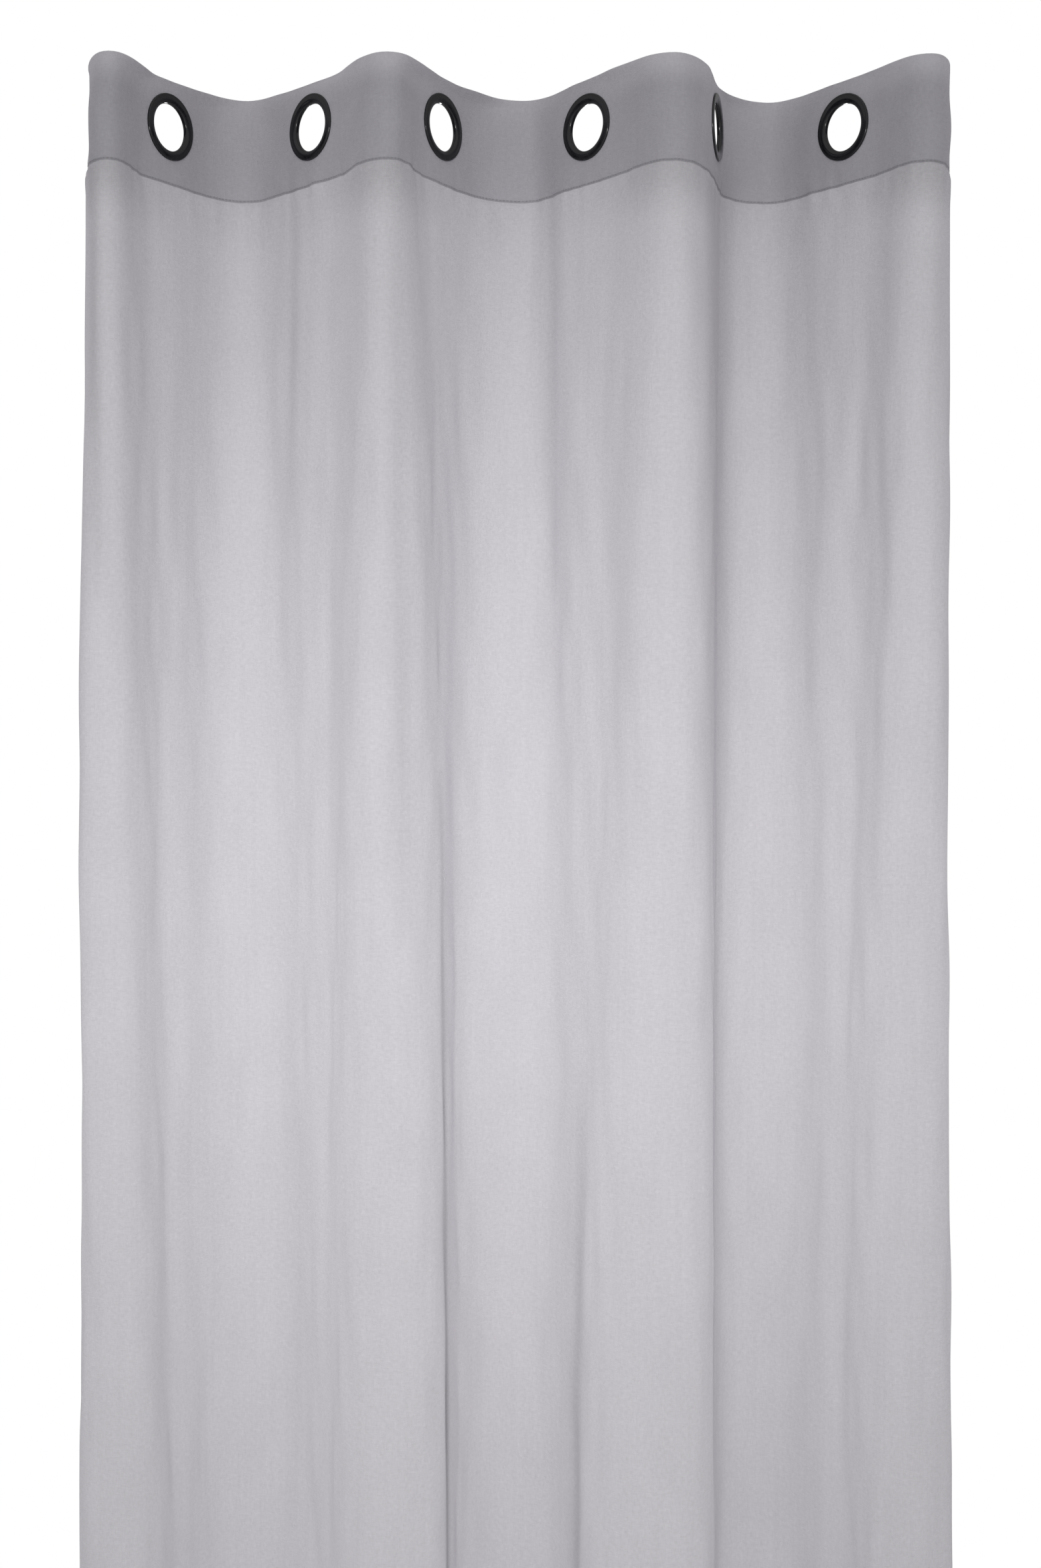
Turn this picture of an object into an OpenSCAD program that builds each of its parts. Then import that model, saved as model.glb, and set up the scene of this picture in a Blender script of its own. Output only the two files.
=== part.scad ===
// Eyelet curtain panel hanging in deep waves from a straight rod.
// Frame: +X along the rod, +Z up, front (room side) towards -Y.
// Origin on the line through the eyelet centres, half way along the row.
// The cloth is split at the seven folds into eight upright strips, so that
// each strip with its eyelet can swing as the curtain is drawn.

/* [Panel] */
// Finished height, top edge to bottom edge (mm)
drop = 2600; // [1200:10:3200]
// First to last eyelet along the rod, as hung (mm)
rod_span = 724; // [560:1:900]
// Cloth thickness (mm)
cloth_t = 0.8; // [0.4:0.1:1.5]
// Cloth beyond the first and the last eyelet (mm)
end_flap = 63; // [45:1:80]

/* [Folds] */
// How far the tallest front fold stands in front of the rod line (mm)
front_depth = 77; // [50:1:110]
// How far the deepest rear fold stands behind the rod line (mm)
rear_depth = 60; // [40:1:90]
// Roundness of the folds, as a share of each half fold
fold_ease = 0.4; // [0.25:0.05:0.6]
// Straight cloth each side of an eyelet centre (mm)
flat_half = 30; // [29:1:40]
// Slit between two strips at a fold (mm)
fold_slit = 0.6; // [0.2:0.1:1.5]

/* [Header] */
// Height of the doubled header (mm)
header_h = 90.5; // [75:0.5:130]
// Eyelet centre below the top edge (mm)
eyelet_drop = 40.5; // [34:0.5:60]
// Thickness of the stiffening tape inside the header (mm)
tape_t = 0.6; // [0.3:0.1:1.2]
// How far the tape stops short of the header's edges (mm)
tape_inset = 3; // [1:0.5:8]

/* [Eyelets] */
// Radius of the opening for the rod (mm)
bore_r = 20; // [15:0.5:25]
// Outer radius of both eyelet halves (mm)
ring_r = 28.5; // [24:0.5:34]
// Wall of the barrel that passes through the cloth (mm)
barrel_wall = 1.5; // [1:0.1:2.5]
// Height of the front half's flange (mm)
flange_h = 2.8; // [1.5:0.1:5]
// Width of the rounding from the flange into the opening (mm)
lip_w = 4.5; // [2:0.5:6]
// Depth of the rounding from the flange into the opening (mm)
lip_h = 3; // [1.5:0.1:3.2]
// Radius of the flange's outer edge (mm)
rim_r = 1.2; // [0.5:0.1:1.5]
// Height of the rear half's flange (mm)
back_flange_h = 2.2; // [1.2:0.1:4]

/* [Hems] */
// Height of the bottom hem (mm)
hem_h = 80; // [30:1:150]
// Width of the side hems (mm)
side_hem_w = 18; // [8:1:30]
// Turned-in thickness of a hem behind the face cloth (mm)
hem_t = 1.6; // [0.6:0.1:3]

/* [Label] */
// Width of the blank care label (mm)
label_w = 28; // [15:1:50]
// Height of the care label (mm)
label_h = 46; // [25:1:80]
// Thickness of the care label (mm)
label_t = 0.4; // [0.2:0.1:0.8]
// Height of the label's lower edge above the curtain's bottom (mm)
label_up = 120; // [90:1:400]

/* [Hidden] */
$fn = 96;
// clearance between sewn or clipped layers
gap = 0.02;
// clear ring between the barrel and the hole punched for it
punch_gap = 0.5;
// length of each strip's end that runs square to its end face
square_end = 0.5;
steps = 8;
strips = 8;

// eyelet centres and fold tops, as shares of rod_span
eyelet_share = [0, 0.083, 0.251, 0.407, 0.579, 0.733, 0.884, 1];
fold_share = [0.023, 0.164, 0.351, 0.504, 0.675, 0.801, 0.970];
// fold tops as shares of front_depth (front folds) or rear_depth (rear folds)
fold_reach = [1, 0.92, 1, 0.93, 0.95, 1, 0.92];
// direction of the cloth at each eyelet, seen from above, from +X towards +Y
flank = [-90, 57, -47, 58, -48, 76, -50, 90];

eyelet_x = [for (s = eyelet_share) (s - 0.5) * rod_span];
fold_at = [for (k = [0 : strips - 2]) [
    (fold_share[k] - 0.5) * rod_span,
    k % 2 == 0 ? -front_depth * fold_reach[k] : rear_depth * fold_reach[k]
]];

z_top = eyelet_drop;
z_bottom = z_top - drop;
z_seam = z_top - header_h;
z_hem = z_bottom + hem_h;

// depths of the layers, counted from the cloth's middle towards the front
face_front = cloth_t / 2;
face_back = -cloth_t / 2;
tape_front = face_back - gap;
tape_back = tape_front - tape_t;
facing_front = tape_back - gap;
facing_back = facing_front - cloth_t;
hem_front = face_back - gap;
hem_back = hem_front - hem_t;
label_front = hem_back - gap;
label_back = label_front - label_t;

barrel_r = bore_r + barrel_wall;
punch_r = barrel_r + punch_gap;
ring_back = facing_back - gap - back_flange_h;
barrel_back = ring_back + 0.4;

function unit(v) = v / norm(v);
function bezier(a, b, c, d, t) =
    pow(1 - t, 3) * a + 3 * pow(1 - t, 2) * t * b + 3 * (1 - t) * t * t * c + pow(t, 3) * d;

// cloth's path from eyelet i to the top of fold k, way +1 or -1 along it
function half_fold(i, k, way) =
    let (
        run = way * [cos(flank[i]), sin(flank[i])],
        start = [eyelet_x[i], 0] + run * flat_half,
        end = fold_at[k] - way * [fold_slit / 2, 0],
        reach = norm(end - start) * fold_ease
    )
    concat(
        [for (j = [0 : steps - 1])
            bezier(start, start + run * reach, end - way * [reach, 0], end, j / steps)],
        [end - way * [square_end, 0], end]
    );

function flip(p) = [for (j = [len(p) - 1 : -1 : 0]) p[j]];

// whole path of strip i, left to right
function strip_path(i) = concat(
    i == 0 ? [[eyelet_x[i], end_flap]] : flip(half_fold(i, i - 1, -1)),
    i == strips - 1 ? [[eyelet_x[i], end_flap]] : half_fold(i, i, 1)
);

// path of a band of width w at the free side edge of strip i
function edge_path(i, w) =
    let (p = [[eyelet_x[i], end_flap], [eyelet_x[i], end_flap - w]])
    i == 0 ? p : flip(p);

function heading(p, j) = unit(p[min(j + 1, len(p) - 1)] - p[max(j - 1, 0)]);
function shifted(p, d) =
    [for (j = [0 : len(p) - 1]) let (h = heading(p, j)) p[j] + d * [h[1], -h[0]]];

// upright sheet along path p, between two depths and two heights
module sheet(p, back, front, z_low, z_high) {
    translate([0, 0, z_low])
        linear_extrude(height = z_high - z_low)
            polygon(concat(shifted(p, back), flip(shifted(p, front))));
}

// eyelet i's own frame: +Z out of the cloth's front face
module at_eyelet(i) {
    translate([eyelet_x[i], 0, 0])
        rotate([0, 0, flank[i]])
            rotate([90, 0, 0])
                children();
}

module punch(i) {
    at_eyelet(i)
        cylinder(r = punch_r, h = 40, center = true);
}

module panel(i) {
    color([0.78, 0.77, 0.78])
        difference() {
            sheet(strip_path(i), face_back, face_front, z_bottom, z_top);
            punch(i);
        }
}

module header_facing(i) {
    color([0.70, 0.69, 0.70])
        difference() {
            sheet(strip_path(i), facing_back, facing_front, z_seam, z_top);
            punch(i);
        }
}

module header_tape(i) {
    color([0.93, 0.93, 0.90])
        difference() {
            sheet(strip_path(i), tape_back, tape_front, z_seam + tape_inset, z_top - tape_inset);
            punch(i);
        }
}

module bottom_hem(i) {
    color([0.72, 0.71, 0.72])
        sheet(strip_path(i), hem_back, hem_front, z_bottom, z_hem);
}

module side_hem(i) {
    color([0.72, 0.71, 0.72])
        sheet(edge_path(i, side_hem_w), hem_back, hem_front, z_hem + gap, z_seam - gap);
}

// front half: flange that rounds into the opening, barrel through the cloth
module front_ring(i) {
    rise = face_front + gap;
    crown = rise + flange_h;
    lip = [for (a = [0 : 15 : 90]) [bore_r + lip_w * (1 - cos(a)), crown - lip_h * (1 - sin(a))]];
    rim = [for (a = [90 : -22.5 : 0]) [ring_r - rim_r * (1 - cos(a)), crown - rim_r * (1 - sin(a))]];
    color([0.16, 0.16, 0.17])
        at_eyelet(i)
            rotate_extrude()
                polygon(concat(
                    [[barrel_r, rise], [barrel_r, barrel_back], [bore_r, barrel_back]],
                    lip, rim, [[ring_r, rise]]
                ));
}

// rear half: clipped round the barrel's end, flat against the facing
module rear_ring(i) {
    inner = barrel_r + gap;
    low = facing_back - gap;
    color([0.16, 0.16, 0.17])
        at_eyelet(i)
            rotate_extrude()
                polygon([
                    [inner, low], [ring_r, low], [ring_r, low - 0.3 * back_flange_h],
                    [ring_r - 0.9, low - 0.75 * back_flange_h],
                    [ring_r - 2.6, ring_back], [inner + 0.8, ring_back],
                    [inner, ring_back + 0.4]
                ]);
}

module care_label() {
    last = strips - 1;
    color([0.97, 0.97, 0.96])
        sheet(edge_path(last, label_w), label_back, label_front,
            z_bottom + label_up, z_bottom + label_up + label_h);
}

module panel_1() { panel(0); }
module panel_2() { panel(1); }
module panel_3() { panel(2); }
module panel_4() { panel(3); }
module panel_5() { panel(4); }
module panel_6() { panel(5); }
module panel_7() { panel(6); }
module panel_8() { panel(7); }
module header_facing_1() { header_facing(0); }
module header_facing_2() { header_facing(1); }
module header_facing_3() { header_facing(2); }
module header_facing_4() { header_facing(3); }
module header_facing_5() { header_facing(4); }
module header_facing_6() { header_facing(5); }
module header_facing_7() { header_facing(6); }
module header_facing_8() { header_facing(7); }
module header_tape_1() { header_tape(0); }
module header_tape_2() { header_tape(1); }
module header_tape_3() { header_tape(2); }
module header_tape_4() { header_tape(3); }
module header_tape_5() { header_tape(4); }
module header_tape_6() { header_tape(5); }
module header_tape_7() { header_tape(6); }
module header_tape_8() { header_tape(7); }
module front_ring_1() { front_ring(0); }
module front_ring_2() { front_ring(1); }
module front_ring_3() { front_ring(2); }
module front_ring_4() { front_ring(3); }
module front_ring_5() { front_ring(4); }
module front_ring_6() { front_ring(5); }
module front_ring_7() { front_ring(6); }
module front_ring_8() { front_ring(7); }
module rear_ring_1() { rear_ring(0); }
module rear_ring_2() { rear_ring(1); }
module rear_ring_3() { rear_ring(2); }
module rear_ring_4() { rear_ring(3); }
module rear_ring_5() { rear_ring(4); }
module rear_ring_6() { rear_ring(5); }
module rear_ring_7() { rear_ring(6); }
module rear_ring_8() { rear_ring(7); }
module bottom_hem_1() { bottom_hem(0); }
module bottom_hem_2() { bottom_hem(1); }
module bottom_hem_3() { bottom_hem(2); }
module bottom_hem_4() { bottom_hem(3); }
module bottom_hem_5() { bottom_hem(4); }
module bottom_hem_6() { bottom_hem(5); }
module bottom_hem_7() { bottom_hem(6); }
module bottom_hem_8() { bottom_hem(7); }
module side_hem_left() { side_hem(0); }
module side_hem_right() { side_hem(7); }

panel_1();
panel_2();
panel_3();
panel_4();
panel_5();
panel_6();
panel_7();
panel_8();
header_facing_1();
header_facing_2();
header_facing_3();
header_facing_4();
header_facing_5();
header_facing_6();
header_facing_7();
header_facing_8();
header_tape_1();
header_tape_2();
header_tape_3();
header_tape_4();
header_tape_5();
header_tape_6();
header_tape_7();
header_tape_8();
front_ring_1();
front_ring_2();
front_ring_3();
front_ring_4();
front_ring_5();
front_ring_6();
front_ring_7();
front_ring_8();
rear_ring_1();
rear_ring_2();
rear_ring_3();
rear_ring_4();
rear_ring_5();
rear_ring_6();
rear_ring_7();
rear_ring_8();
bottom_hem_1();
bottom_hem_2();
bottom_hem_3();
bottom_hem_4();
bottom_hem_5();
bottom_hem_6();
bottom_hem_7();
bottom_hem_8();
side_hem_left();
side_hem_right();
care_label();
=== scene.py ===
import math

import bpy
import numpy as np
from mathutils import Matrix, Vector


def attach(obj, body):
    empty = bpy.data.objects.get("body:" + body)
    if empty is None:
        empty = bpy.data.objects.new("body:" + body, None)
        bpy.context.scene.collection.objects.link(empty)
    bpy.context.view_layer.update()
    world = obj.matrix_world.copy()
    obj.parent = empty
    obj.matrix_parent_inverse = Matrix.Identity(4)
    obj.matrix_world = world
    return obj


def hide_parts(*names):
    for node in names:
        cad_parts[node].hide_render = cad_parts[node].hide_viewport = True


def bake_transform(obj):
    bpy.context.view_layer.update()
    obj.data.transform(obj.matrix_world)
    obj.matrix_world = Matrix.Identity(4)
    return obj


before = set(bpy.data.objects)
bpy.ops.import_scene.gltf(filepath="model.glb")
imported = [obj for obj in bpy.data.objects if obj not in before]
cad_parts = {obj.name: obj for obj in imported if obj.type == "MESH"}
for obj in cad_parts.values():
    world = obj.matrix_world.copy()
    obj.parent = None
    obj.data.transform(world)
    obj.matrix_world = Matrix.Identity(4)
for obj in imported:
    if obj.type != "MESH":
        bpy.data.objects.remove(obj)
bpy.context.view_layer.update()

# ---------------------------------------------------------------- the cloth's plan
# Lengths are millimetres until a mesh is made. Plan coordinates are (x, y): x along the
# rod and y to the back, so a front fold has a negative y.
TOP_Z, SEAM_Z = 40.5, -50.0             # top edge, header's stitched line
HEM_Z, BOTTOM_Z = -2479.5, -2559.5      # hem's stitched line, bottom edge
END_FLAP = 63.0                         # cloth beyond the first and the last eyelet
RING_R, BORE_R = 28.5, 20.0             # an eyelet's outer radius, and its opening's
HOLE_R = 23.2                           # hole punched in the cloth for an eyelet
EYELETS = [-362.0, -301.9, -180.3, -67.3, 57.2, 168.7, 278.0, 362.0]

# Each level: height, straight cloth each side of a crossing, how far the cloth keeps its
# way after that and before a fold's top, as shares of the distance between them, where the
# cloth crosses the rod's plane, its angle there, and the tops of its seven folds.
RING_ANGLES = [-90, 57, -47, 58, -48, 76, -50, 90]
LEVELS = [
    (41, 12, 0.29, 0.29, [-363, -301.5, -173, -61, 55, 167.5, 279.5, 363],
     [-95, 55, -43, 58, -53, 78, -51, 92],
     [-340, -241, -110, 5, 128.5, 220, 341],
     [-78, 55.8, -76.6, 57, -74.5, 61.5, -71.5]),
    (31, 30, 0.33, 0.33, EYELETS, RING_ANGLES,
     [-341.5, -242, -109, 4.5, 127.7, 219, 340.7],
     [-78.4, 56, -77.5, 57, -74.5, 61.5, -71.8]),
    (-31, 30, 0.35, 0.35, EYELETS, RING_ANGLES,
     [-342.5, -242.5, -108.5, 4, 127.2, 218.6, 340.5],
     [-79.5, 57, -79.5, 58, -76, 62, -73]),
    (-62, 26, 0.33, 0.33, [-364, -301, -179, -66.5, 56.5, 168, 277.5, 363],
     [-93, 56, -46, 59, -49, 78, -49, 90],
     [-343, -242.5, -108.5, 3.5, 128, 218, 337],
     [-79.5, 57.5, -80, 58.5, -76, 62, -72]),
    (-400, 14, 0.25, 0.48, [-366, -299, -176, -63, 54, 167.5, 276, 364],
     [-94, 58, -47, 68, -49, 80, -47, 87],
     [-343, -241, -108, 0, 127, 213, 331],
     [-74, 52, -75, 54, -72, 57, -67]),
    (-800, 8, 0.22, 0.58, [-367, -296, -171, -60, 50, 166.5, 272, 366],
     [-92, 50, -51, 76, -54, 80, -43, 86],
     [-343, -238, -106, -4, 124, 209, 327],
     [-66, 48, -71, 52, -69, 54, -61]),
    (-1240, 6, 0.22, 0.62, [-368, -292, -168, -58, 46, 165.5, 269, 368],
     [-90, 46, -54, 80, -66, 80, -42, 86],
     [-341, -236, -105, -6, 121, 206, 326],
     [-62, 46, -69, 52, -68, 52, -57]),
    (-1900, 6, 0.22, 0.60, [-369, -290, -166, -57, 46, 164.5, 268, 369],
     [-88, 46, -57, 89, -80, 78, -44, 86],
     [-341, -234, -105, -5, 118, 207, 325],
     [-61, 45, -68, 52, -67, 53, -58]),
    (-2560, 6, 0.24, 0.58, [-370, -289, -165, -57, 47, 165, 268, 370],
     [-87, 48, -56, 87, -78, 82, -46, 86],
     [-340, -233, -105, -4, 117, 208, 325],
     [-60, 46, -66, 53, -66, 54, -58]),
]

STRIPS, FOLDS = len(EYELETS), len(EYELETS) - 1
FLAP_COLUMNS, HALF_COLUMNS = 14, 20     # the mesh's columns in a flap, in half a fold


def level_table():
    """Heights, and one row of numbers per height, lowest first."""
    rows = [[z, flat, ease, shoulder, *cross, *angle, *fx, *fy]
            for z, flat, ease, shoulder, cross, angle, fx, fy in LEVELS]
    table = np.array(sorted(rows), float)
    return table[:, 0], table[:, 1:]


def smooth_between(z, heights, values):
    """Cubic curve through each column of values, flat where its neighbours turn round."""
    gap = np.diff(heights)[:, None]
    slope = np.diff(values, axis=0) / gap
    above, below = slope[1:], slope[:-1]
    tangent = np.zeros_like(values)
    mean = 2 * above * below / (above + below + 1e-12)
    tangent[1:-1] = np.where(above * below > 0, mean, 0)
    k = int(np.clip(np.searchsorted(heights, z) - 1, 0, len(heights) - 2))
    h = heights[k + 1] - heights[k]
    t = np.clip((z - heights[k]) / h, 0, 1)
    return (
        (2 * t**3 - 3 * t**2 + 1) * values[k] + (t**3 - 2 * t**2 + t) * h * tangent[k]
        + (3 * t**2 - 2 * t**3) * values[k + 1] + (t**3 - t**2) * h * tangent[k + 1]
    )


def half_fold(cross, angle, top, way, flat, ease, shoulder):
    """Cloth's path from where it crosses the rod's plane to the top of a fold."""
    run = way * np.array([math.cos(math.radians(angle)), math.sin(math.radians(angle))])
    middle = np.array([cross, 0.0])
    start = middle + run * flat
    reach = np.linalg.norm(top - start)
    a, b, c, d = start, start + run * reach * ease, top - [way * reach * shoulder, 0], top
    t = np.linspace(0, 1, 40)[:, None]
    curve = (1 - t)**3 * a + 3 * (1 - t)**2 * t * b + 3 * (1 - t) * t * t * c + t**3 * d
    return np.vstack([middle, curve])


def spaced(path, count):
    """count + 1 points at even distances along a path."""
    along = np.concatenate([[0], np.cumsum(np.linalg.norm(np.diff(path, axis=0), axis=1))])
    at = np.linspace(0, along[-1], count + 1)
    return np.stack([np.interp(at, along, path[:, i]) for i in (0, 1)], axis=1), along[-1]


def plan_row(z, heights, values):
    """The cloth's path at one height, and the length of each stretch of it."""
    v = smooth_between(z, heights, values)
    shape = v[:3]
    cross, angle, fx, fy = np.split(v[3:], np.cumsum([STRIPS, STRIPS, FOLDS]))
    points, lengths = [], []
    for i in range(STRIPS):
        halves = []
        if i == 0:
            halves.append((np.array([[cross[0], END_FLAP], [cross[0], 0.0]]), FLAP_COLUMNS))
        else:
            top = np.array([fx[i - 1], fy[i - 1]])
            halves.append((half_fold(cross[i], angle[i], top, -1, *shape)[::-1], HALF_COLUMNS))
        if i == FOLDS:
            halves.append((np.array([[cross[i], 0.0], [cross[i], END_FLAP]]), FLAP_COLUMNS))
        else:
            top = np.array([fx[i], fy[i]])
            halves.append((half_fold(cross[i], angle[i], top, 1, *shape), HALF_COLUMNS))
        for path, count in halves:
            line, length = spaced(path, count)
            points.append(line[:-1])
            lengths.append((length, count))
    points.append(line[-1:])
    return np.vstack(points), lengths


# ---------------------------------------------------------------- rows of the cloth
def front_rows():
    """Heights of the front face's rows, from the bottom edge to the header's top."""
    roll = 1.2
    z = [BOTTOM_Z + roll, BOTTOM_Z + 4]
    z += list(np.linspace(BOTTOM_Z + 12, HEM_Z - 6, 7))
    z += [HEM_Z - 2, HEM_Z + 2]
    z += list(np.linspace(HEM_Z + 12, -130, 168))
    z += list(np.arange(-120, SEAM_Z - 20, 5.0)) + list(np.arange(SEAM_Z - 18, SEAM_Z - 9, 1.5))
    z += [SEAM_Z - 8, SEAM_Z - 5, SEAM_Z - 3, SEAM_Z - 1.5, SEAM_Z, SEAM_Z + 1.5, SEAM_Z + 4]
    z += list(np.arange(SEAM_Z + 8, TOP_Z - 5, 4.0))
    z += [TOP_Z - 4, TOP_Z - roll]
    return np.array(z)


# Depths of the layers' faces in front of the cloth's middle.
CLOTH_T = 0.8
FACE_FRONT, FACE_BACK = CLOTH_T / 2, -CLOTH_T / 2
TURN_FRONT = -1.04                      # front side of the turned header and hem
TURN_BACK = TURN_FRONT - CLOTH_T
TAPE_FRONT, TAPE_BACK = -0.46, -0.98    # stiffening tape, inside the header
TAPE_INSET = 3                          # how far it stops short of the header's edges

heights, values = level_table()
rows_z = front_rows()
plan = np.array([plan_row(z, heights, values)[0] for z in rows_z])
stretch_lengths = plan_row(TOP_Z, heights, values)[1]
flat_s = np.concatenate([[0.0]] + [
    np.full(count, length / count) for length, count in stretch_lengths
]).cumsum()
EYELET_COLUMNS = [FLAP_COLUMNS + 2 * HALF_COLUMNS * i for i in range(STRIPS)]
EYELET_S = flat_s[EYELET_COLUMNS]
print("cloth", len(rows_z), "rows", len(flat_s), "columns, flat width", round(flat_s[-1], 1))


# ---------------------------------------------------------------- wrinkles
def field(s, z, seed, count, wave_s, wave_z):
    """A smooth random height field of unit spread, from waves in a band of lengths."""
    rng = np.random.RandomState(seed)
    out = np.zeros(np.broadcast(s, z).shape)
    for _ in range(count):
        ks = 2 * math.pi / rng.uniform(*wave_s) * rng.choice([-1, 1])
        kz = 2 * math.pi / rng.uniform(*wave_z)
        out += np.sin(ks * s + kz * z + rng.uniform(0, 2 * math.pi))
    return out / math.sqrt(count / 2)


def step(a, b, x):
    t = np.clip((x - a) / (b - a), 0, 1)
    return t * t * (3 - 2 * t)


# Creases pressed into the cloth: flat position, upper and lower end, half width, depth,
# how far the lower end has drifted to the right, and how much painted shade the cloth gets
# there.
DENTS = [
    (130, -5, -420, 9, 2.2, 16, 0.7),
    (170, -260, -1100, 12, 1.0, 20, 0.2),
    (388, -10, -330, 9, 2.2, -6, 0.5),
    (360, -300, -1500, 14, 1.0, 6, 0.2),
    (524, -20, -700, 10, 1.5, 6, 0.6),
    (587, -550, -2530, 9, 1.8, 2, 2.4),
    (735, -10, -400, 9, 1.8, 0, 0.4),
    (786, -800, -2530, 9, 1.6, 0, 1.3),
    (1205, -60, -700, 9, 1.0, 4, 0.2),
]
# Places in a row of the depth and of the painted shade.
DEPTH, PAINTED_SHADE_INDEX = 4, 6      # places of two of these numbers in a row


def creases(s, z, strength):
    """The sum of the creases at flat position s and height z, each weighted by the number
    at index strength of its row."""
    out = np.zeros(np.broadcast(s, z).shape)
    for dent in DENTS:
        at, top, low, half, _, drift, _ = dent
        t = np.clip((top - z) / (top - low), 0, 1)
        across = (s - at - drift * t) / half
        out += dent[strength] * np.exp(-across**2) * np.sin(math.pi * t) ** 0.5
    return out


def wrinkles(s, z):
    """How far the cloth stands in front of its smooth shape."""
    below = step(SEAM_Z + 4, SEAM_Z - 260, z)
    header = step(SEAM_Z - 30, SEAM_Z + 10, z)
    out = (0.3 + 1.0 * below) * 0.8 * field(s, z, 11, 26, (70, 190), (500, 1600))
    out += (0.12 + 0.24 * below) * field(s, z, 12, 40, (24, 60), (110, 380))
    out += 0.5 * header * field(s, z, 14, 24, (50, 120), (45, 100))
    near_seam = np.exp(-((z - SEAM_Z) / 24.0) ** 2)
    out += near_seam * 0.36 * field(s, z, 13, 34, (11, 34), (50, 240))
    out -= creases(s, z, DEPTH)
    # the stitched line draws the cloth in, and the turned edge shows as a ridge below it
    out -= 0.9 * np.exp(-((z - SEAM_Z) / 2.0) ** 2)
    out += 0.3 * np.exp(-((z - SEAM_Z + 5.0) / 3.0) ** 2)
    patches = np.clip(field(s, z * 0, 15, 12, (60, 200), (900, 2000)), 0, 1.4)
    out += 0.55 * patches * np.exp(-((z - SEAM_Z + 13.5) / 2.2) ** 2)
    out -= 0.5 * np.exp(-((z - HEM_Z + 1.8) / 2.2) ** 2)
    for e in EYELET_S:
        out *= step(29.5, 44, np.hypot(s - e, z))
    return out


bump = wrinkles(flat_s[None, :], rows_z[:, None])


def normals_2d(points):
    """Front normals of a path in plan."""
    d = np.gradient(points, axis=0)
    d /= np.linalg.norm(d, axis=1)[:, None]
    return np.stack([d[:, 1], -d[:, 0]], axis=1)


plan_normals = np.array([normals_2d(p) for p in plan])
middle = plan + plan_normals * bump[:, :, None]


def surface(row, depth, z):
    """Points of one row of the cloth at a depth in front of its middle, in metres."""
    xy = middle[row] + plan_normals[row] * depth
    return np.column_stack([xy, np.full(len(xy), z)]) / 1000


# ---------------------------------------------------------------- one sheet of cloth
def wrap_rows():
    """The sheet's path from the hem's upper edge, round the bottom, up the face and over
    the top to the header's lower edge: (row, outer depth, inner depth, outer z, inner z)."""
    hem = [i for i, z in enumerate(rows_z) if z <= HEM_Z]
    head = [i for i, z in enumerate(rows_z) if z >= SEAM_Z - 0.1]
    path = [(i, TURN_BACK, TURN_FRONT, rows_z[i], rows_z[i]) for i in hem[::-1]]
    centre, outer_r, inner_r = (FACE_FRONT + TURN_BACK) / 2, 1.12, 0.32

    def roll(row, degrees):
        for a in np.radians(degrees):
            across, up = math.cos(a), math.sin(a)
            path.append((row, centre + outer_r * across, centre + inner_r * across,
                         rows_z[row] + outer_r * up, rows_z[row] + inner_r * up))

    roll(0, [-150, -120, -90, -60, -30])
    path += [(i, FACE_FRONT, FACE_BACK, z, z) for i, z in enumerate(rows_z)]
    roll(len(rows_z) - 1, [30, 60, 90, 120, 150])
    path += [(i, TURN_BACK, TURN_FRONT, rows_z[i], rows_z[i]) for i in head[::-1]]
    return path


def grid_normals(points):
    """Unit normals of a grid of points, on the side it is seen from in order."""
    across = np.gradient(points, axis=1)
    along = np.gradient(points, axis=0)
    n = np.cross(across, along)
    return n / np.maximum(np.linalg.norm(n, axis=2), 1e-12)[:, :, None]


FOLD_DEPTH = 0.078      # how far the front folds stand out, in metres
STEEP_HALF = 0.050      # half the flat width of the fold that turns edge-on, in metres


def steep_fold(s, z):
    """Shade in the one fold that turns almost edge-on, at the sixth eyelet."""
    across = (s - EYELET_S[5] / 1000) / STEEP_HALF
    fading = 1.15 - 1.05 * step(-0.2, -0.9, z)
    return np.exp(-across**6) * step(0.02, -0.06, z) * fading


def linked(name, data):
    """A new object of the scene from a mesh, lamp or camera."""
    obj = bpy.data.objects.new(name, data)
    bpy.context.scene.collection.objects.link(obj)
    return obj


def smooth_mesh(name, verts, faces, mat):
    mesh = bpy.data.meshes.new(name)
    mesh.from_pydata(verts.tolist(), [], faces)
    mesh.polygons.foreach_set("use_smooth", np.ones(len(faces), bool))
    mesh.materials.append(mat)
    return linked(name, mesh)


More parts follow.
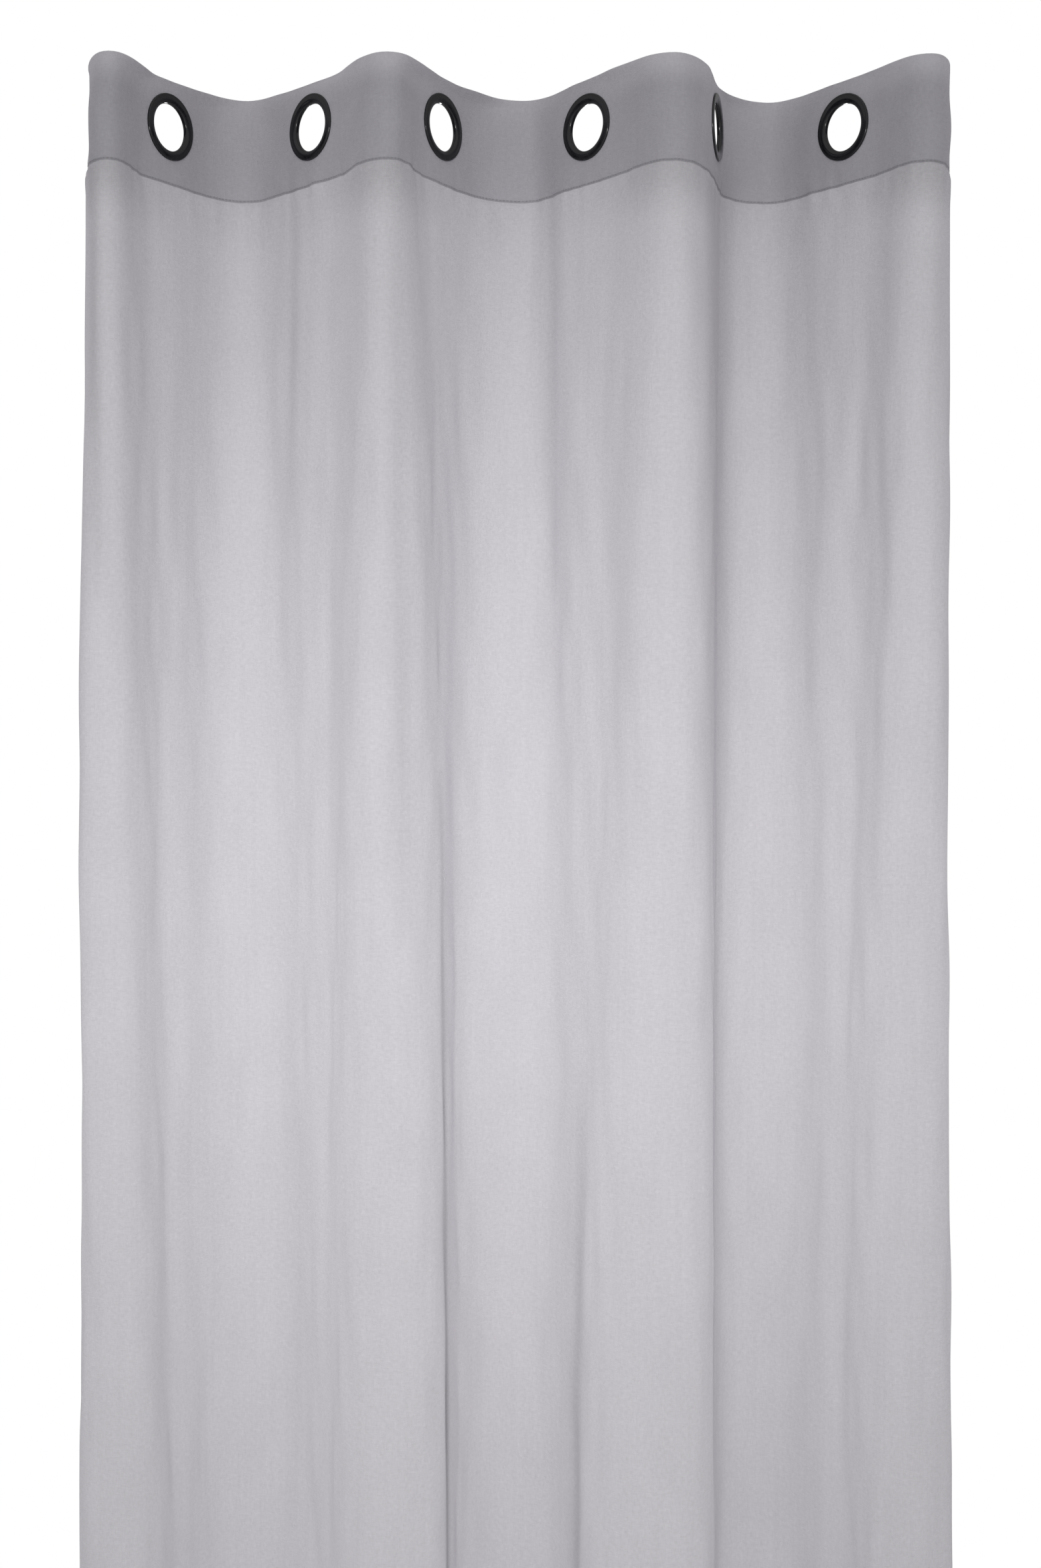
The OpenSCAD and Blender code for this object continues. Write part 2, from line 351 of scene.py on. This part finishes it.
def to_mesh(name, points, uv, normals, faces, face_kind, mats):
    """A mesh from vertex positions and quads, with its own corner normals. A second
    material, the cloth painted darker as shade, is for the header, where the cloth lies
    double. Each vertex's fold is about 1 at a front fold's top, 0 in the rod's plane and
    below 0 on a rear fold; each vertex also carries the painted shade of the creases and
    of the fold turned edge-on."""
    used = np.unique(faces)
    index = np.full(len(points), -1)
    index[used] = np.arange(len(used))
    mesh = bpy.data.meshes.new(name)
    mesh.from_pydata(points[used].tolist(), [], index[faces].tolist())
    layer = mesh.uv_layers.new(name="cloth")
    corners = faces.ravel()
    layer.data.foreach_set("uv", uv[corners].astype(np.float32).ravel())
    mesh.polygons.foreach_set("use_smooth", np.ones(len(faces), bool))
    for mat in mats:
        mesh.materials.append(mat)
    header = points[faces][:, :, 2].mean(axis=1) > SEAM_Z / 1000
    mesh.polygons.foreach_set("material_index", (header & (len(mats) > 1)).astype(np.int32))
    corner_normals = normals[corners].reshape(-1, 4, 3)
    quads = points[faces]
    flat = np.cross(quads[:, 2] - quads[:, 0], quads[:, 3] - quads[:, 1])
    flat /= np.maximum(np.linalg.norm(flat, axis=1), 1e-12)[:, None]
    walls = face_kind == 1
    corner_normals[walls] = flat[walls][:, None, :]
    # Painted shade of the creases and of the fold turned edge-on, kept per vertex for the
    # cloth's colour.
    painted_shade_amount = creases(uv[used, 0] * 1000, points[used, 2] * 1000, PAINTED_SHADE_INDEX)
    painted_shade_amount += steep_fold(uv[used, 0], points[used, 2])
    for key, value in (("fold", points[used, 1] / -FOLD_DEPTH), ("painted_shade", painted_shade_amount)):
        layer = mesh.attributes.new(key, "FLOAT", "POINT")
        layer.data.foreach_set("value", value.astype(np.float32))
    mesh.update()
    mesh.normals_split_custom_set(corner_normals.reshape(-1, 3).tolist())
    return linked(name, mesh)


def shell(name, outer, inner, uv, outer_n, inner_n, keep, mats):
    """A closed sheet between two grids, without the quads that keep leaves out."""
    rows, cols = keep.shape
    count = (rows + 1) * (cols + 1)
    ids = np.arange(count).reshape(rows + 1, cols + 1)
    a, b, c, d = ids[:-1, :-1], ids[:-1, 1:], ids[1:, 1:], ids[1:, :-1]
    front = np.stack([a, b, c, d], axis=2)[keep]
    back = np.stack([a, d, c, b], axis=2)[keep] + count
    full = np.zeros((rows + 2, cols + 2), bool)
    full[1:-1, 1:-1] = keep
    walls = []
    for dr, dc, p, q in ((-1, 0, a, b), (0, 1, b, c), (1, 0, c, d), (0, -1, d, a)):
        other = full[1 + dr:rows + 1 + dr, 1 + dc:cols + 1 + dc]
        edge = keep & ~other
        walls.append(np.stack([q[edge], p[edge], p[edge] + count, q[edge] + count], axis=1))
    walls = np.vstack(walls)
    faces = np.vstack([front, back, walls])
    kind = np.concatenate([np.zeros(len(front) + len(back)), np.ones(len(walls))])
    points = np.concatenate([outer.reshape(-1, 3), inner.reshape(-1, 3)])
    normals = np.concatenate([outer_n.reshape(-1, 3), -inner_n.reshape(-1, 3)])
    both_uv = np.concatenate([uv.reshape(-1, 2)] * 2)
    return to_mesh(name, points, both_uv, normals, faces, kind, mats)


def punched(points, z):
    """Which quads stay round the eyelets, with the rim's vertices drawn in to the hole."""
    keep = np.ones((len(z) - 1, len(flat_s) - 1), bool)
    for e, x in zip(EYELET_S, EYELETS):
        r = np.hypot(flat_s[None, :] - e, z[:, None])
        inside = r < HOLE_R
        gone = inside[:-1, :-1] | inside[1:, :-1] | inside[:-1, 1:] | inside[1:, 1:]
        near = np.zeros(r.shape, bool)
        for i, j in ((0, 0), (1, 0), (0, 1), (1, 1)):
            near[i:r.shape[0] - 1 + i, j:r.shape[1] - 1 + j] |= gone
        rim = near & ~inside
        keep &= ~gone
        share = np.where(rim, HOLE_R / np.maximum(r, 1e-6), 1.0)
        centre = np.array([x, 0, 0]) / 1000
        for grid in points:
            moved = centre + (grid - centre) * share[:, :, None]
            grid[rim] = moved[rim]
    return keep


path = wrap_rows()
path_z = np.array([z for _, _, _, z, _ in path])
EASING = 0.46       # how far normals are drawn to the front, low down


def eased(normals):
    """Normals drawn towards the front or the back lower down, where the folds look
    softer; the steep sides at the fourth, fifth and sixth eyelets keep most of theirs."""
    share = EASING * step(-150, -800, path_z)[:, None] * np.ones(len(flat_s))
    for eyelet, kept in ((3, 0.8), (4, 0.5), (5, 1.0)):
        share *= 1 - kept * np.exp(-((flat_s - EYELET_S[eyelet]) / 15) ** 4)
    back = np.array([depth < 0 for _, depth, _, _, _ in path])
    share = share[:, :, None] * np.where(back, 1, -1)[:, None, None] * np.array([0, 1, 0])
    out = normals * (1 - np.abs(share).sum(axis=2, keepdims=True)) + share
    return out / np.linalg.norm(out, axis=2)[:, :, None]


outer = np.array([surface(row, d, z) for row, d, _, z, _ in path])
inner = np.array([surface(row, d, z) for row, _, d, _, z in path])
run = np.concatenate([[0], np.cumsum(np.linalg.norm(np.diff(outer[:, 0], axis=0), axis=1))])
uv = np.stack(np.broadcast_arrays(flat_s[None, :] / 1000, run[:, None]), axis=2)
outer_n, inner_n = eased(grid_normals(outer)), eased(grid_normals(inner))
keep = punched([outer, inner], path_z)


# ---------------------------------------------------------------- materials
def new_material(name):
    mat = bpy.data.materials.new(name)
    mat.use_nodes = True
    nt = mat.node_tree
    return mat, nt, nt.nodes["Principled BSDF"]


def node(nt, kind, inputs=(), **attrs):
    n = nt.nodes.new("ShaderNode" + kind)
    for key, value in attrs.items():
        setattr(n, key, value)
    for key, value in dict(inputs).items():
        if isinstance(value, bpy.types.NodeSocket):
            nt.links.new(value, n.inputs[key])
        else:
            n.inputs[key].default_value = value
    return n


# The places of the header's seam and top edge along the sheet, in metres.
SEAM_V = (HEM_Z - BOTTOM_Z + SEAM_Z - BOTTOM_Z) / 1000
TOP_V = (HEM_Z - BOTTOM_Z + TOP_Z - BOTTOM_Z) / 1000
SEAM_GROOVE = SEAM_V + 0.0006


def cloth_material(name, colour, edge, rear):
    """Soft linen-look weave: fine threads both ways, short slubs, faint clouding and
    streaks along the warp, with light and shade painted on top. edge paints a band beside
    an edge, lighter for a positive tone and darker for a negative one: its place along the
    sheet, its width, and the tone on the flanks and on the front folds. rear is painted
    light on the rear folds. The seam's groove, the creases and the fold turned edge-on get
    painted shade; the front folds' tops get painted shade and the rest a touch of painted
    light."""
    mat, nt, bsdf = new_material(name)
    coords = node(nt, "UVMap", uv_map="cloth").outputs["UV"]

    def grain(scale, detail):
        mapped = node(nt, "Mapping", {"Vector": coords, "Scale": (*scale, 1.0)})
        return node(nt, "TexNoise", {"Vector": mapped.outputs[0], "Scale": 1.0,
                                     "Detail": detail}).outputs[0]

    def maths(operation, *numbers):
        return node(nt, "Math", enumerate(numbers), operation=operation).outputs[0]

    def add(a, b):
        return maths("ADD", a, b)

    def multiply(a, b):
        return maths("MULTIPLY", a, b)

    def distance(a, b):
        return maths("ABSOLUTE", maths("SUBTRACT", a, b))

    def ranged(value, low, high, a, b, **how):
        return node(nt, "MapRange", {"Value": value, "From Min": low, "From Max": high,
                                     "To Min": a, "To Max": b}, **how).outputs[0]

    def eased_range(*numbers):
        return ranged(*numbers, interpolation_type="SMOOTHSTEP")

    weft, warp = grain((170, 1500), 2.0), grain((1500, 150), 2.0)
    threads = ranged(add(weft, warp), 0.7, 1.3, -0.045, 0.045)
    slubs = ranged(grain((70, 700), 1.0), 0.62, 0.80, 0.0, 0.040)
    mottle = ranged(grain((330, 330), 4.0), 0.3, 0.7, -0.036, 0.036)
    clouds = ranged(grain((26, 14), 3.0), 0.3, 0.7, -0.018, 0.018)
    streaks = ranged(grain((210, 6), 3.0), 0.3, 0.7, -0.014, 0.014)
    total = add(add(add(threads, slubs), add(mottle, clouds)), streaks)
    v = node(nt, "SeparateXYZ", {0: coords}).outputs[1]
    fold = node(nt, "Attribute", attribute_name="fold").outputs["Fac"]
    # A band beside an edge gets painted light and shade, its tone set by how far the cloth
    # stands forward.
    edge_v, width, on_flank, on_crest = edge
    band = eased_range(distance(v, edge_v), 0.002, width, 1.0, 0.0)
    painted_edge_light_and_shade = multiply(band, ranged(fold, -0.2, 0.8, on_flank, on_crest))
    # Painted shade: a thin dark line along the seam's groove.
    painted_groove_shade = ranged(distance(v, SEAM_GROOVE), 0.0004, 0.0015, -0.20, 0.0)
    # Painted shade on the front folds' tops and a touch of painted light elsewhere, and painted
    # light of rear on the rear folds.
    folds = add(eased_range(fold, 0.25, 0.95, 0.03, -0.06),
                eased_range(fold, -0.75, -0.3, rear, 0.0))
    # Painted shade of the creases and the edge-on fold, up to 40 % darker.
    painted_shade = node(nt, "Attribute", attribute_name="painted_shade").outputs["Fac"]
    tone = add(add(add(total, painted_edge_light_and_shade), add(painted_groove_shade, folds)),
               ranged(painted_shade, 0.0, 2.0, 1.0, 0.60))
    tint = node(nt, "CombineColor", {i: multiply(tone, c) for i, c in enumerate(colour)})
    nt.links.new(tint.outputs[0], bsdf.inputs["Base Color"])
    rough = ranged(grain((60, 60), 3.0), 0.3, 0.7, 0.80, 0.94)
    nt.links.new(rough, bsdf.inputs["Roughness"])
    bsdf.inputs["Specular IOR Level"].default_value = 0.25
    bsdf.inputs["Sheen Weight"].default_value = 0.40
    bsdf.inputs["Sheen Roughness"].default_value = 0.45
    bsdf.inputs["Sheen Tint"].default_value = (0.96, 0.91, 1.0, 1)
    height = add(threads, multiply(mottle, 0.6))
    relief = node(nt, "Bump", {"Height": height, "Strength": 0.5, "Distance": 0.006})
    nt.links.new(relief.outputs[0], bsdf.inputs["Normal"])
    return mat


# The cloth: painted shade in a band beside the seam, darkest on the front folds.
cloth = cloth_material("cloth", (0.59, 0.575, 0.605),
                       (SEAM_V, 0.055, -0.04, -0.20), 0.0)
# The header: the same cloth painted darker all over as shade, with painted light along its top
# edge, most on the front folds, and on its rear folds.
shaded_header_cloth = cloth_material("header_cloth_painted_shade", (0.365, 0.355, 0.38),
                         (TOP_V, 0.030, 0.05, 0.32), 0.13)


def ring_material():
    """Gunmetal-black gloss with faint rubbed patches."""
    mat, nt, bsdf = new_material("black_nickel")
    coords = node(nt, "TexCoord").outputs["Object"]
    noise = node(nt, "TexNoise", {"Vector": coords, "Scale": 260.0, "Detail": 3.0})
    rough = node(nt, "MapRange", {"Value": noise.outputs[0], "From Min": 0.3, "From Max": 0.7,
                                  "To Min": 0.10, "To Max": 0.18})
    nt.links.new(rough.outputs[0], bsdf.inputs["Roughness"])
    bsdf.inputs["Base Color"].default_value = (0.005, 0.005, 0.007, 1)
    bsdf.inputs["Specular IOR Level"].default_value = 0.46
    return mat


metal = ring_material()


def plain_fabric(name, colour, rough, scale):
    """Felt, thread or satin: one colour with a fine grain of its own."""
    mat, nt, bsdf = new_material(name)
    coords = node(nt, "TexCoord").outputs["Object"]
    grain = node(nt, "TexNoise", {"Vector": coords, "Scale": scale, "Detail": 3.0})
    ramp = node(nt, "ValToRGB", {"Fac": grain.outputs[0]})
    low, high = ramp.color_ramp.elements
    low.position, high.position = 0.3, 0.7
    low.color = (*[c * 0.9 for c in colour], 1)
    high.color = (*[min(c * 1.08, 1) for c in colour], 1)
    nt.links.new(ramp.outputs[0], bsdf.inputs["Base Color"])
    bsdf.inputs["Roughness"].default_value = rough
    bsdf.inputs["Sheen Weight"].default_value = 0.15
    relief = node(nt, "Bump", {"Height": grain.outputs[0], "Strength": 0.3, "Distance": 0.0003})
    nt.links.new(relief.outputs[0], bsdf.inputs["Normal"])
    return mat


tape_felt = plain_fabric("tape_felt", (0.62, 0.62, 0.63), 0.9, 900.0)
# Real thread, its grey darker than the cloth as painted shade for the seams' grooves.
thread = plain_fabric("thread", (0.25, 0.245, 0.26), 0.6, 2600.0)
satin = plain_fabric("satin", (0.80, 0.80, 0.80), 0.45, 1500.0)

# ---------------------------------------------------------------- pieces
CUTS = [0, *EYELET_COLUMNS[1:FOLDS], len(flat_s) - 1]      # columns between the folds


def bend(obj):
    """Bakes a piece's placement into its mesh."""
    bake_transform(obj)


def fold_sheets(stem, grids, keep, mats, parts):
    """One piece of a sheet for each fold, cut at the eyelets' middles. It stands for its
    own strip's parts, and the last one for those of the last strip too."""
    for k in range(FOLDS):
        first, last = CUTS[k], CUTS[k + 1]
        strips = [k + 1, k + 2] if last == CUTS[-1] else [k + 1]
        piece = shell(f"{stem}_{k + 1}", *[grid[:, first:last + 1] for grid in grids],
                      keep[:, first:last], mats)
        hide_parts(*[f"{part}_{i}" for i in strips for part in parts])
        bend(piece)


fold_sheets("cloth", (outer, inner, uv, outer_n, inner_n), keep, (cloth, shaded_header_cloth),
            ("panel", "header_facing", "bottom_hem"))

# The stiffening tape lies between the front cloth and the turned facing.
tape_rows = [i for i, z in enumerate(rows_z) if SEAM_Z + TAPE_INSET < z < TOP_Z - TAPE_INSET]
tape_z = rows_z[tape_rows]
tape_outer = np.array([surface(i, TAPE_FRONT, rows_z[i]) for i in tape_rows])
tape_inner = np.array([surface(i, TAPE_BACK, rows_z[i]) for i in tape_rows])
tape_uv = np.stack(np.broadcast_arrays(flat_s[None, :] / 1000, tape_z[:, None] / 1000), axis=2)
tape_n = grid_normals(tape_outer)
tape_keep = punched([tape_outer, tape_inner], tape_z)
fold_sheets("tape", (tape_outer, tape_inner, tape_uv, tape_n, tape_n), tape_keep,
            (tape_felt,), ("header_tape",))


def on_cloth(s, z, depth):
    """Points at flat position s and height z, at a depth in front of the cloth's middle,
    with the cloth's front normals there, in metres."""
    column = np.interp(s, flat_s, np.arange(len(flat_s)))
    row = np.interp(z, rows_z, np.arange(len(rows_z)))
    c0 = np.clip(column.astype(int), 0, len(flat_s) - 2)
    r0 = np.clip(row.astype(int), 0, len(rows_z) - 2)
    u, v = (column - c0)[:, None], (row - r0)[:, None]

    def mixed(grid):
        low = grid[r0, c0] * (1 - u) + grid[r0, c0 + 1] * u
        high = grid[r0 + 1, c0] * (1 - u) + grid[r0 + 1, c0 + 1] * u
        return low * (1 - v) + high * v

    n = mixed(plan_normals)
    n /= np.linalg.norm(n, axis=1)[:, None]
    xy = mixed(middle) + n * np.asarray(depth).reshape(-1, 1)
    flat = np.zeros(len(n))
    return np.column_stack([xy, z]) / 1000, np.column_stack([n, flat])


def tube(points, normals, radii, sides):
    """The vertices of a tube along a run of points, ring by ring."""
    along = np.gradient(points, axis=0)
    along /= np.linalg.norm(along, axis=1)[:, None]
    side = np.cross(along, normals)
    turn = np.linspace(0, 2 * math.pi, sides + 1)[:-1]
    ring = (normals[:, None] * np.cos(turn)[None, :, None]
            + side[:, None] * np.sin(turn)[None, :, None])
    return (points[:, None] + ring * np.asarray(radii)[:, None, None]).reshape(-1, 3)


STITCH_SIDES, STITCH_RINGS = 6, 7


def stitches(name, runs, radius, mat):
    """One mesh of thread. Each run has its stitches' centres s and z, the depth of the
    face they lie on, their length, and whether they lie along s or along z."""
    verts, faces = [], []
    t = np.linspace(-1, 1, STITCH_RINGS)
    profile = np.sqrt(np.clip(1 - t**4, 0.02, 1))
    total = 0
    for s, z, face, length, along_s in runs:
        way = 1 if face > 0 else -1
        for s0, z0 in zip(s, z):
            ss = s0 + t * length / 2 * along_s
            zz = z0 + t * length / 2 * (not along_s)
            depth = face + way * radius * (0.75 - 1.5 * t**6)
            p, n = on_cloth(ss, zz, depth)
            verts.append(tube(p, n, profile * radius / 1000, STITCH_SIDES))
            base = total + np.arange(STITCH_RINGS - 1)[:, None] * STITCH_SIDES
            j = np.arange(STITCH_SIDES)[None, :]
            nxt = (j + 1) % STITCH_SIDES
            quads = np.stack([base + j, base + nxt, base + nxt + STITCH_SIDES,
                              base + j + STITCH_SIDES], axis=2).reshape(-1, 4)
            faces += quads.tolist()
            faces.append(list(range(total + STITCH_SIDES - 1, total - 1, -1)))
            end = total + (STITCH_RINGS - 1) * STITCH_SIDES
            faces.append(list(range(end, end + STITCH_SIDES)))
            total += STITCH_RINGS * STITCH_SIDES
    return smooth_mesh(name, np.vstack(verts), faces, mat)


STITCH, GAP, THREAD_R = 2.7, 0.5, 0.21
SEAM_LINE, HEM_LINE = SEAM_Z + 1.6, HEM_Z - 1.8
for k in range(FOLDS):
    s = np.arange(flat_s[CUTS[k]] + 2.5, flat_s[CUTS[k + 1]] - 1.5, STITCH + GAP)
    runs = [(s, np.full(len(s), line), face, STITCH, True)
            for line in (SEAM_LINE, HEM_LINE) for face in (FACE_FRONT, TURN_BACK)]
    piece = stitches(f"stitching_{k + 1}", runs, THREAD_R, thread)
    bend(piece)


SIDE_W = 18.0       # width of a side hem
# The turned side hem's outer and inner faces, as (distance in from the edge, depth).
SIDE_WRAP = [(SIDE_W, -2.0), (12, -2.02), (6, -2.04), (1, -2.04), (-0.4, -1.8),
             (-0.95, -1.2), (-1.05, -0.6), (-0.7, 0.05), (-0.1, 0.42)]
SIDE_LINING = [(SIDE_W, -0.5), (12, -0.5), (6, -0.5), (0.9, -0.5), (-0.05, -0.5),
               (-0.12, -0.45), (-0.14, -0.35), (-0.12, -0.1), (-0.02, 0.1)]
SIDE_STITCH, SIDE_PITCH, SIDE_THREAD_R = 3.5, 4.2, 0.2


def side_hem(name, edge_s, way, body, node_name):
    """The sheet's own edge, turned twice to the back along the side; way is 1 where the
    cloth lies to the right of its edge and -1 where it lies to the left."""
    z = np.array([v for v in rows_z if HEM_Z + 1 < v < SEAM_Z - 1])
    wrap = [(edge_s + way * inward, depth) for inward, depth in SIDE_WRAP]
    lining = [(edge_s + way * inward, depth) for inward, depth in SIDE_LINING]
    at = 0 if way > 0 else len(flat_s) - 1

    def grid(profile):
        columns = []
        for s, depth in profile:
            beyond = (s - edge_s) * way
            if beyond < 0:
                p, n = on_cloth(np.full(len(z), float(edge_s)), z, np.full(len(z), depth))
                p = p + np.column_stack([-n[:, 1], n[:, 0], 0 * z]) * (s - edge_s) / 1000
            else:
                p, n = on_cloth(np.full(len(z), float(s)), z, np.full(len(z), depth))
            columns.append(p)
        return np.stack(columns, axis=1)

    outside, inside = grid(wrap), grid(lining)
    s_uv = np.array([s for s, _ in wrap]) / 1000
    hem_uv = np.stack(np.broadcast_arrays(s_uv[None, :], z[:, None] / 1000), axis=2)
    normals = grid_normals(outside)
    outward = -plan_normals[len(rows_z) // 2, at]
    if normals[len(z) // 2, 1, :2] @ outward < 0:
        outside, inside, hem_uv = outside[:, ::-1], inside[:, ::-1], hem_uv[:, ::-1]
        normals = grid_normals(outside)
    piece = shell(name, outside, inside, hem_uv, normals, normals,
                  np.ones((len(z) - 1, len(wrap) - 1), bool), (cloth,))
    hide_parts(node_name)
    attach(piece, body)
    zz = np.arange(HEM_Z + 4, SEAM_Z - 3, SIDE_PITCH)
    line = np.full(len(zz), wrap[0][0] - way * 2.2)
    runs = [(line, zz, face, SIDE_STITCH, False) for face in (FACE_FRONT, wrap[0][1])]
    thread_piece = stitches(f"{name}_stitching", runs, SIDE_THREAD_R, thread)
    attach(thread_piece, body)


side_hem("left_side_hem", 0.0, 1, "strip_1", "side_hem_left")
side_hem("right_side_hem", flat_s[-1], -1, "strip_8", "side_hem_right")


LABEL_W, LABEL_H, LABEL_UP = 28, 46, 120    # size, and height above the bottom edge
LABEL_FACES = (-2.12, -2.42)                # depths of its front and its back


def care_label():
    """A blank woven tab, sewn into the right side hem's back and curling a little."""
    s_end = flat_s[-1]
    across = np.linspace(s_end - 1, s_end - (LABEL_W + 1), 15)
    down = np.linspace(BOTTOM_Z + (LABEL_UP + LABEL_H), BOTTOM_Z + LABEL_UP, 24)
    ss, zz = np.meshgrid(across, down)
    fall = (down[0] - zz) / LABEL_H
    curl = 0.5 * fall**2 + 0.35 * np.sin((ss - across[0]) / 9) * fall
    shape = ss.shape + (3,)
    faces = [on_cloth(ss.ravel(), zz.ravel(), (d - curl).ravel())[0].reshape(shape)
             for d in LABEL_FACES]
    label_uv = np.stack([ss / 1000, zz / 1000], axis=2)
    normals = grid_normals(faces[1])
    outward = np.append(-plan_normals[20, -5], 0)
    if normals[8, 8] @ outward < 0:
        faces, label_uv = [grid[:, ::-1] for grid in faces], label_uv[:, ::-1]
        normals = grid_normals(faces[1])
    piece = shell("label", faces[1], faces[0], label_uv, normals, normals,
                  np.ones((len(down) - 1, len(across) - 1), bool), (satin,))
    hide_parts("care_label")
    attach(piece, "strip_8")


care_label()


def lathe(name, profile, centre, front, mat, segments=96):
    """A turned ring: profile is (radius, height in front) round a closed section."""
    turn = np.linspace(0, 2 * math.pi, segments + 1)[:-1]
    side = np.array([-front[1], front[0], 0.0])
    up = np.array([0.0, 0.0, 1.0])
    spoke = side[None, :] * np.cos(turn)[:, None] + up[None, :] * np.sin(turn)[:, None]
    p = np.asarray(profile, float) / 1000
    verts = (centre + spoke[:, None] * p[None, :, :1] + front * p[None, :, 1:]).reshape(-1, 3)
    m = len(p)
    i = np.arange(segments)[:, None] * m
    j = np.arange(m)[None, :]
    nxt_i, nxt_j = (i + m) % (segments * m), (j + 1) % m
    quads = np.stack([i + j, i + nxt_j, nxt_i + nxt_j, nxt_i + j], axis=2).reshape(-1, 4)
    return smooth_mesh(name, verts, quads.tolist(), mat)


def rounded(corners, steps=4):
    """A closed section with each (radius, height, rounding) corner cut to an arc."""
    out = []
    m = len(corners)
    for i, (x, y, r) in enumerate(corners):
        here = np.array([x, y])
        to_prev = np.array(corners[i - 1][:2]) - here
        to_next = np.array(corners[(i + 1) % m][:2]) - here
        a = here + to_prev / np.linalg.norm(to_prev) * r
        b = here + to_next / np.linalg.norm(to_next) * r
        for t in np.linspace(0, 1, steps + 1) if r > 0 else [0]:
            out.append((1 - t)**2 * a + 2 * t * (1 - t) * here + t * t * b)
    return out


# An eyelet's halves, as (radius, height in front, rounding) at each corner.
FRONT_RING = rounded([
    (RING_R, 0.43, 0.08), (RING_R, 1.5, 0.5), (27.7, 2.15, 0.5), (26.9, 2.0, 0.3),
    (23.6, 2.25, 1.5), (20.5, 1.1, 0.9), (BORE_R, -0.6, 0.5), (BORE_R, -1.9, 0.5),
    (20.9, -2.9, 0.2), (21.45, -2.9, 0.1), (21.5, 0.43, 0.05),
])
REAR_RING = rounded([
    (21.6, -1.88, 0.08), (RING_R, -1.88, 0.1), (RING_R, -2.4, 0.3), (27.6, -3.0, 0.5),
    (25.4, -3.15, 0.6), (22.4, -3.1, 0.4), (21.6, -2.8, 0.2),
])
for i, (x, angle) in enumerate(zip(EYELETS, RING_ANGLES), 1):
    a = math.radians(angle)
    front = np.array([math.sin(a), -math.cos(a), 0.0])
    centre = np.array([x / 1000, 0, 0])
    for half, profile in (("front", FRONT_RING), ("rear", REAR_RING)):
        ring = lathe(f"eyelet_{i}_{half}", profile, centre, front, metal)
        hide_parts(f"{half}_ring_{i}")
        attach(ring, f"strip_{i}")

# ---------------------------------------------------------------- stage, light, camera
FLOOR_R, FLOOR_GAP = 3.4, 0.012
LAMP_R = 0.40
GLOW_FRONT, GLOW_BEHIND = 0.68, 0.28     # the studio's light, before and behind


def stage_floor():
    """A pale round floor just under the curtain's bottom edge."""
    mesh = bpy.data.meshes.new("floor")
    z = BOTTOM_Z / 1000 - FLOOR_GAP
    turn = np.linspace(0, 2 * math.pi, 97)[:-1]
    rim = [(FLOOR_R * math.cos(a), FLOOR_R * math.sin(a), z) for a in turn]
    mesh.from_pydata(rim, [], [tuple(range(len(rim)))])
    floor = linked("floor", mesh)
    mat, _, bsdf = new_material("floor")
    bsdf.inputs["Base Color"].default_value = (0.85, 0.85, 0.85, 1)
    bsdf.inputs["Roughness"].default_value = 0.8
    mesh.materials.append(mat)


def soft_spot(name, at, target, degrees, watts):
    """A wide soft lamp whose light falls away smoothly from where it is aimed."""
    light = bpy.data.lights.new(name, "SPOT")
    light.energy, light.shadow_soft_size = watts, LAMP_R
    light.spot_size, light.spot_blend = math.radians(degrees), 1.0
    obj = linked(name, light)
    obj.location = at
    obj.rotation_euler = (Vector(target) - Vector(at)).to_track_quat("-Z", "Y").to_euler()


stage_floor()
soft_spot("key", (-0.20, -3.0, -0.64), (-0.04, 0, -0.64), 33, 200)
soft_spot("low", (-0.20, -3.0, -1.98), (-0.04, 0, -1.98), 31, 150)
soft_spot("rear", (0.40, 3.2, -1.20), (0, 0, -1.30), 62, 260)

world = bpy.data.worlds.new("studio")
bpy.context.scene.world = world
world.use_nodes = True
wt = world.node_tree
background = wt.nodes["Background"]
background.inputs["Color"].default_value = (1, 1, 1, 1)
# The studio is brighter in front of the curtain than behind it.
heading = node(wt, "SeparateXYZ", {0: node(wt, "TexCoord").outputs["Generated"]})
glow = node(wt, "MapRange", {"Value": heading.outputs[1], "From Min": -0.5, "From Max": 0.5,
                             "To Min": GLOW_FRONT, "To Max": GLOW_BEHIND},
            interpolation_type="SMOOTHSTEP")
wt.links.new(glow.outputs[0], background.inputs["Strength"])
white = node(wt, "Background", {"Color": (1, 1, 1, 1), "Strength": 1.0})
seen = node(wt, "LightPath")
choose = node(wt, "MixShader", {0: seen.outputs["Is Camera Ray"], 1: background.outputs[0],
                                2: white.outputs[0]})
wt.links.new(choose.outputs[0], wt.nodes["World Output"].inputs["Surface"])

bpy.context.scene.view_settings.view_transform = "Standard"

camera_data = bpy.data.cameras.new("camera")
camera_data.sensor_fit = "VERTICAL"
camera_data.sensor_height = 36
camera_data.lens = 50.7
camera = linked("camera", camera_data)
camera.location = (0, -1.9, -0.565)
camera.rotation_euler = (math.pi / 2, 0, 0)
bpy.context.scene.camera = camera
